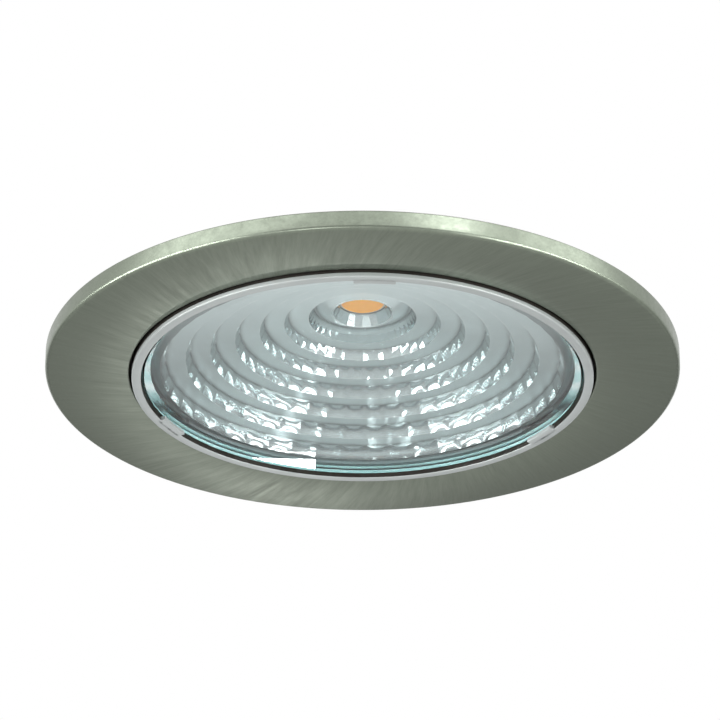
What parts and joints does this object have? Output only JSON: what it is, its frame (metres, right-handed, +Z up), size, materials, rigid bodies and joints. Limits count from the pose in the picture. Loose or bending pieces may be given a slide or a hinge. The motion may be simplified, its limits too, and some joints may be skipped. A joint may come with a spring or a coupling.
{
  "type": "downlight",
  "caption": "Round recessed soffit downlight with a satin nickel trim, clear glass over a stepped faceted reflector, finned body, spring clips and a cable gland.",
  "frame": {"origin": "On the axis of the round trim, in the plane of the soffit's underside, where the trim's rim and its gasket seat.", "axes": "+Z goes up into the soffit, along the body's axis; the light faces -Z. The two spring clips lie on +X and -X, and the cable gland lies towards +Y."},
  "size_m": [0.12, 0.12, 0.0351],
  "materials": {
    "satin_nickel": "satin nickel, brushed near-radially",
    "black_rubber": "matt moulded rubber",
    "grey_ring": "fine light grey lacquer on turned metal",
    "clear_glass": "clear float glass with a faint teal edge",
    "silicone": "translucent silicone",
    "mirror_reflector": "vapour-metallised mirror",
    "phosphor": "yellow silicone phosphor",
    "white_board": "white solder mask on aluminium",
    "grey_pad": "soft grey silicone pad",
    "screw_steel": "plain stainless steel",
    "lead_plastic": "silicone insulation",
    "black_casting": "black powder coat on a die casting",
    "black_nylon": "moulded nylon with a fine grain",
    "zinc_steel": "zinc-plated sheet steel",
    "spring_steel": "tempered stainless strip",
    "spring_wire": "drawn spring wire",
    "clip_rubber": "soft dipped rubber"
  },
  "bodies": {
    "fitting": {"trim_ring": "satin_nickel", "soffit_gasket": "black_rubber", "retaining_ring": "grey_ring", "front_glass": "clear_glass", "glass_seal": "silicone", "reflector": "mirror_reflector", "led_emitter": "phosphor", "led_board": "white_board", "thermal_pad": "grey_pad", "board_screws": "screw_steel", "led_leads": "lead_plastic", "heat_sink": "black_casting", "trim_screws": "screw_steel", "gland_body": "black_nylon", "gland_washer": "black_rubber", "gland_insert": "black_rubber", "gland_nut": "black_nylon", "bracket_screws": "screw_steel", "clip_bracket_right": "zinc_steel", "clip_bracket_left": "zinc_steel", "hinge_pin_right": "screw_steel", "hinge_pin_left": "screw_steel", "pin_circlip_right": "spring_steel", "pin_circlip_left": "spring_steel", "clip_spring_right": "spring_wire", "clip_spring_left": "spring_wire"},
    "clip_right": {"clip_arm_right": "spring_steel", "clip_sleeve_right": "clip_rubber"},
    "clip_left": {"clip_arm_left": "spring_steel", "clip_sleeve_left": "clip_rubber"}
  },
  "joints": [
    {"name": "clip_right_fold", "type": "hinge", "parent": "fitting", "child": "clip_right", "pos_m": [0.036, 0, 0.0162], "axis": [0, -1, 0], "range_deg": [0, 115], "stiffness_Nm_per_rad": 0.05, "springref_deg": -28.65, "deforming": ["clip_spring_right"]},
    {"name": "clip_left_fold", "type": "hinge", "parent": "fitting", "child": "clip_left", "pos_m": [-0.036, 0, 0.0162], "axis": [0, 1, 0], "range_deg": [0, 115], "stiffness_Nm_per_rad": 0.05, "springref_deg": -28.65, "deforming": ["clip_spring_left"]}
  ]
}
